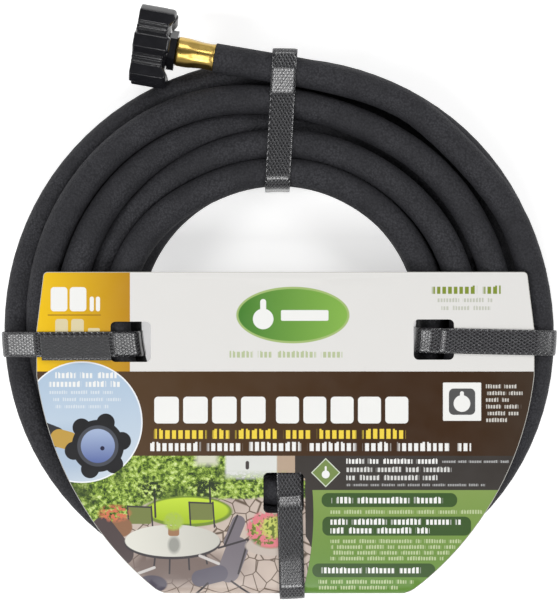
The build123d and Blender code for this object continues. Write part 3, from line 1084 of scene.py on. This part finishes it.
def garden_print():
    """Plain picture of a garden: wall, leaves, lawn, flagstones, a table and chairs, flowers."""
    p = Print("print_garden", PAPER)
    speckle = p.noise(430, 4, 0.75)
    leaves = p.ramp(speckle, (0.38, (0.02, 0.04, 0.008)), (0.47, (0.11, 0.19, 0.02)),
                    (0.56, (0.36, 0.5, 0.08)), (0.68, (0.66, 0.76, 0.36)))
    deep = p.fade_mask(p.noise(75, 2), 0.48, 0.66)
    p.ink = p.mix(p.mul(deep, 0.8), leaves, (0.03, 0.05, 0.015))
    p.box((0.6, 0.6, 0.48), -42, -71, -31, -60, 1, 3)
    p.box((0.66, 0.67, 0.64), -27, -78, -0.6, -60, 0.3, 1.5)
    p.box((0.44, 0.33, 0.24), -1.0, -79, 14, -60, 0.3, 0.6)
    p.line((0.06, 0.05, 0.05), -16, -70, -16, -72.5, 0.9)
    front = p.mul(p.box_mask(-34, -92, 16, -77, 3, 7), p.fade_mask(speckle, 0.42, 0.48))
    p.lay(front, leaves)
    wobble = p.mul(p.sub(p.noise(60, 3), 0.5), 9)
    edge = p.add(p.add(p.y, wobble), p.mul(p.fade_mask(p.x, -62, -100), 22))
    ground = p.mul(p.sub(-87.5, edge), 0.7, clamp=True)
    paving = p.mix(p.noise(55, 3), (0.62, 0.52, 0.44), (0.4, 0.32, 0.29))
    joints = p.ramp(p.cells(125, "DISTANCE_TO_EDGE"), (0.015, 0.0), (0.045, 1.0))
    p.lay(ground, p.mix(joints, (0.12, 0.085, 0.06), paving))
    p.oval((0.16, 0.24, 0.03), -46, -94.6, 22.5, 7.8, 0.5)
    p.oval(p.fade(p.y, -100, -88, (0.34, 0.48, 0.02), (0.5, 0.66, 0.05)), -46, -94.2, 20.6, 6.6, 0.5)
    p.oval((0.17, 0.125, 0.11), -52, -123, 30, 9, 7)
    dark = (0.045, 0.038, 0.042)
    mesh = (0.17, 0.15, 0.17)
    for x, y in ((-64.6, -83.4), (-36.6, -82.6)):
        p.line(dark, x + 1.6, y, x + 2.2, y - 14, 0.5)
        p.lay(p.mul(p.oval_mask(x, y, 6.6, 4.6, 2.5), p.fade_mask(speckle, 0.56, 0.5)), (0.02, 0.035, 0.012))
    for x, y in ((-70.5, -96.5), (-39.4, -94.5)):
        p.box((0.17, 0.2, 0.06), x - 6, y - 4.4, x + 6, y + 4.4, 0.8)
        for side in (-6, 6):
            p.line(dark, x + side, y + 4.6, x + side + 0.8, y - 8, 0.4)
        p.line(dark, x - 6, y + 4.5, x + 6, y + 4.0, 0.4)
    red = p.mul(p.oval_mask(-83, -95.6, 7.4, 4.0, 2), p.fade_mask(p.noise(500, 2), 0.44, 0.52))
    p.oval((0.26, 0.13, 0.07), -79.5, -102.5, 5.4, 5.0, 0.6)
    p.line((0.075, 0.055, 0.055), -89, -103, -79, -116, 5.6)
    p.lay(red, (0.6, 0.17, 0.09))
    for x, y in ((-62, -120), (-55, -123), (-46, -121), (-38, -118)):
        p.lay(p.line_mask(x, -112, x + (x + 52) * 0.12, y - 3, 0.45), dark)
    p.oval(dark, -53.8, -110.2, 24.4, 8.6)
    p.oval(p.fade(p.x, -80, -30, (0.7, 0.69, 0.62), (0.52, 0.51, 0.46)), -53.8, -109.4, 24.0, 8.1)
    p.oval((0.3, 0.3, 0.27), -53.0, -111.5, 3.0, 4.2, 1.5)
    p.box((0.32, 0.17, 0.09), -56.0, -107.0, -50.4, -101.8, 1.2)
    plant = p.mul(p.oval_mask(-53.2, -99.6, 4.8, 4.4, 1.5), p.fade_mask(speckle, 0.4, 0.46))
    p.lay(plant, (0.36, 0.48, 0.08))
    p.line(mesh, -20.5, -100, -24.5, -110, 3.4)
    p.line(dark, -21, -96.6, -27.5, -112, 0.5)
    p.line(mesh, -21, -113, -25.5, -125, 5.6)
    p.line((0.11, 0.1, 0.13), -30, -126, -40, -128.5, 4.2)
    p.line(dark, -15.4, -108.6, -20.5, -126, 0.5)
    p.line(dark, -30.5, -113, -15.4, -108.6, 0.5)
    p.line((0.55, 0.52, 0.5), -40, -117, -30.5, -121, 0.7)
    p.line(dark, -24, -130, -13.5, -137.5, 0.5)
    p.line(dark, -36, -131, -44, -138.5, 0.5)
    p.oval((0.075, 0.065, 0.09), -64.5, -131.5, 8.0, 4.6, 0.6)
    p.line((0.55, 0.52, 0.5), -74, -127, -63, -123, 0.7)
    bed = p.fade_mask(p.noise(480, 2), 0.45, 0.5)
    p.oval((0.5, 0.43, 0.38), -4, -112.0, 13, 5, 0.5)
    p.oval((0.13, 0.17, 0.03), -4, -104.5, 11.5, 8.6, 1.5)
    p.lay(p.mul(p.oval_mask(-4, -102.6, 9.0, 5.8, 2), bed), (0.5, 0.54, 0.12))
    petals = p.oval_mask(-4, -103.6, 12.4, 9.4, 1.5)
    petals = p.sub(petals, p.oval_mask(-2, -102.4, 7.0, 5.2, 2), clamp=True)
    p.lay(p.mul(petals, p.fade_mask(p.noise(560, 2), 0.44, 0.49)), (0.66, 0.19, 0.22))
    return p.done()


def round_print():
    """The round picture: a lobed nut and its blue disc on a dark hose."""
    x, y, radius = ROUND_PICTURE
    p = Print("print_round", (0.8, 0.82, 0.84))
    disc = p.oval_mask(x, y, radius - 0.7, radius - 0.7)
    p.lay(disc, p.fade(p.y, y - 30, y + 30, (0.56, 0.63, 0.7), (0.38, 0.5, 0.64)))
    blue = p.mul(disc, p.oval_mask(-106, -66, 17, 12, 12))
    p.lay(p.mul(blue, 0.35), (0.14, 0.26, 0.44))
    p.lay(p.mul(disc, p.line_mask(-131, -50, -113, -57, 5.2)), (0.03, 0.03, 0.034))
    p.line((0.48, 0.3, 0.06), -111, -57.6, -106, -59.0, 4.6)
    nut_x, nut_y = -91.5, -61.5
    for k in range(6):
        turn = TAU * k / 6 + 0.2
        lobe = (nut_x + 12.4 * math.cos(turn), nut_y + 12.4 * math.sin(turn))
        p.oval((0.012, 0.012, 0.014), *lobe, 4.6, 4.6)
    p.oval((0.012, 0.012, 0.014), nut_x, nut_y, 13.2, 13.2)
    p.oval((0.06, 0.065, 0.08), nut_x, nut_y, 10.4, 10.4)
    p.oval(p.fade(p.y, -70, -54, (0.1, 0.14, 0.34), (0.34, 0.42, 0.6)), nut_x, nut_y, 8.6, 8.6)
    p.oval((0.02, 0.02, 0.05), nut_x + 2.3, nut_y - 1.2, 1.1, 1.1)
    for line, (left, right) in enumerate(((-113, -82), (-117, -80))):
        p.words(left, right, -25.8 - 4.4 * line, 3.0, WHITE)
    for line, (left, right) in enumerate(((-116, -84), (-114, -80), (-113, -86))):
        p.words(left, right, -34.4 - 3.6 * line, 1.8, (0.62, 0.68, 0.74))
    return p.done()


def heading_print():
    """Brown band: blocks for its heading, two lines, a plain square mark."""
    p = Print("print_heading", PAPER)
    p.ink = p.fade(p.x, -70, 60, (0.074, 0.038, 0.015), (0.04, 0.016, 0.004))
    p.lay(p.mul(p.fade_mask(p.x, 95, 130), 0.5), (0.045, 0.034, 0.024))
    p.bars(-63.0, -43.4, (12.4,) * 4, 13.5, WHITE, 2.2)
    p.bars(-1.5, -43.4, (11.6,) * 5, 13.5, WHITE, 2.2)
    p.words(-65, 64, -55.4, 5.0, (0.8, 0.6, 0.06), 22)
    p.words(-65, 97, -61.8, 4.6, WHITE, 27)
    p.box(WHITE, 82.8, -48.8, 102.1, -29.5, 0.5)
    p.box((0.08, 0.08, 0.08), 85.8, -45.8, 99.1, -32.5, 2.5)
    p.oval(WHITE, 92.4, -40.1, 4.2, 4.2)
    p.line(WHITE, 92.4, -38.6, 92.4, -34.9, 1.0)
    for line in range(6):
        p.words(104.5, 120 + 4 * math.sin(line * 2.3), -31.4 - 3.4 * line, 2.0, (0.56, 0.54, 0.5))
    return p.done()


def field_print():
    """Dark band with a diamond mark, then a green field with three dark pills and small lines."""
    p = Print("print_field", PAPER)
    sag = p.mul(p.math("POWER", p.add(p.y, 96), 2), 0.0035)
    beyond = p.mul(p.sub(p.add(p.x, sag), 17.3), 5, clamp=True)
    green = p.fade(p.y, -136, -84, (0.115, 0.25, 0.035), (0.23, 0.33, 0.085))
    green = p.mix(p.mul(p.noise(22, 2), 0.3), green, (0.08, 0.17, 0.03))
    p.ink = p.mix(p.mul(beyond, p.box_mask(0, -150, 140, -83.8)), (0.04, 0.034, 0.03), green)
    badge_x, badge_y = 23.6, -75.0
    dx = p.math("ABSOLUTE", p.sub(p.x, badge_x))
    dy = p.math("ABSOLUTE", p.sub(p.y, badge_y))
    diamond = p.add(dx, dy)
    p.lay(p.soft(p.sub(diamond, 7.4), 0.2), (0.6, 0.66, 0.54))
    p.lay(p.soft(p.sub(diamond, 6.7), 0.2), (0.17, 0.24, 0.07))
    p.oval(WHITE, badge_x, badge_y - 0.9, 2.0, 2.0)
    p.line(WHITE, badge_x, badge_y, badge_x, badge_y + 2.8, 0.5)
    p.words(34, 80, -69.2, 2.6, WHITE)
    p.words(82, 116, -69.4, 1.3, (0.42, 0.42, 0.42))
    p.words(34, 88, -73.4, 2.6, (0.62, 0.62, 0.6))
    p.words(34, 80, -77.5, 2.6, (0.62, 0.62, 0.6))
    p.words(34, 104, -81.2, 1.3, (0.36, 0.36, 0.36))
    pill = (0.04, 0.088, 0.02)
    pills = ((21.5, 90, -85.3, -92.4), (21.9, 97, -97.2, -106.8), (16.8, 79, -120.9, -127.9))
    for left, right, top, bottom in pills:
        p.box(pill, left, bottom, right, top, 3.3)
    p.words(26, 84, -88.9, 3.2, WHITE)
    p.words(26, 92, -99.8, 3.0, WHITE)
    p.words(26, 76, -104.2, 3.0, WHITE)
    p.words(20, 73, -124.4, 3.0, WHITE)
    pale = (0.46, 0.54, 0.3)
    p.words(26, 106, -94.8, 2.0, pale)
    for line in range(4):
        p.words(26, 92 - 3 * line, -109.6 - 2.9 * line, 2.0, pale)
    p.words(20, 68, -130.2, 2.0, pale)
    p.words(20, 60, -133.2, 2.0, pale)
    return p.done()


def panel_print():
    """Pale panel with a plain drop badge, and small lines at its right."""
    p = Print("print_panel", PAPER)
    p.oval((0.34, 0.46, 0.16), 7.0, 4.6, 28.6, 14.3)
    p.oval(p.fade(p.x, -20, 34, (0.06, 0.2, 0.03), (0.22, 0.42, 0.07)), 7.0, 4.6, 27.5, 13.2)
    p.oval(WHITE, -8.0, 2.6, 5.2, 5.2)
    p.line(WHITE, -8.0, 5.0, -8.0, 11.2, 1.5)
    p.bars(1.0, 4.4, (24,), 5.4, WHITE)
    p.words(-25.0, 32.0, -15.2, 3.4, (0.44, 0.5, 0.3))
    p.words(76, 112, 17.4, 4.2, (0.2, 0.26, 0.03))
    p.words(80, 108, 12.2, 2.2, (0.5, 0.51, 0.44))
    p.words(82, 107, 8.2, 2.2, (0.5, 0.51, 0.44))
    return p.done()


def gold_print():
    p = Print("print_gold", PAPER)
    p.ink = p.fade(p.x, -122, -76, (0.8, 0.5, 0.008), (0.46, 0.23, 0.012))
    p.bars(-115.3, 12.6, (8.4, 8.4), 12.2, WHITE, 1.2)
    p.bars(-95.6, 10.2, (2.1, 2.1), 7.4, WHITE, 1.0)
    p.box((0.34, 0.18, 0.01), -116.8, 4.3, -90.0, 4.9)
    p.bars(-113.0, -2.4, (6.4, 6.4), 10.0, (0.66, 0.58, 0.36), 1.6)
    p.bars(-96.5, -4.6, (6.0,), 5.2, (0.66, 0.58, 0.36), 1.6)
    return p.done()


board = Finish("print_board", (0.42, 0.41, 0.38), 0.5, specular=0.3).mat
make_card([round_print(), gold_print(), panel_print(), heading_print(), garden_print(), field_print(), board])
